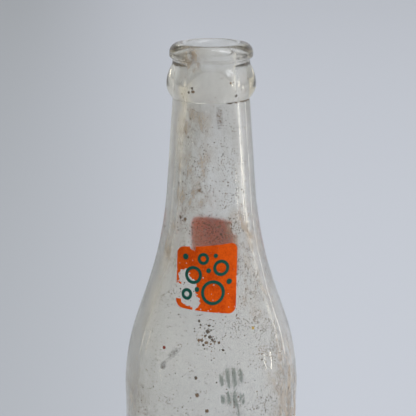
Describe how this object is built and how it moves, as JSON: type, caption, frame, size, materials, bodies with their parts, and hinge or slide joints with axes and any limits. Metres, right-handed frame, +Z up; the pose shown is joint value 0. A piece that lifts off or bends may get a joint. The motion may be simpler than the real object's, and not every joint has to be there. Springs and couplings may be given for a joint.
{
  "type": "glass soda bottle",
  "caption": "Clear glass soda bottle with an open crown finish, bulged neck collar, flared shoulder and straight body, with fired enamel bubble labels on the shoulder.",
  "frame": {"origin": "on the bottle's axis, at the plane of the bearing ring that it stands on", "axes": "+Z up along the bottle's axis to the mouth; the front label faces -Y and +X is to its right"},
  "size_m": [0.0564, 0.0564, 0.197],
  "materials": {
    "clear_glass": "clear soda-lime glass with a haze of dust and specks of dirt",
    "orange_enamel": "fired vitreous enamel, flaked in places",
    "teal_enamel": "fired vitreous enamel"
  },
  "bodies": {
    "root": {"glass_bottle": "clear_glass", "front_label_ground": "orange_enamel", "front_label_bubbles": "teal_enamel", "rear_label_ground": "orange_enamel", "rear_label_bubbles": "teal_enamel", "rear_body_strokes": "teal_enamel"}
  },
  "joints": []
}
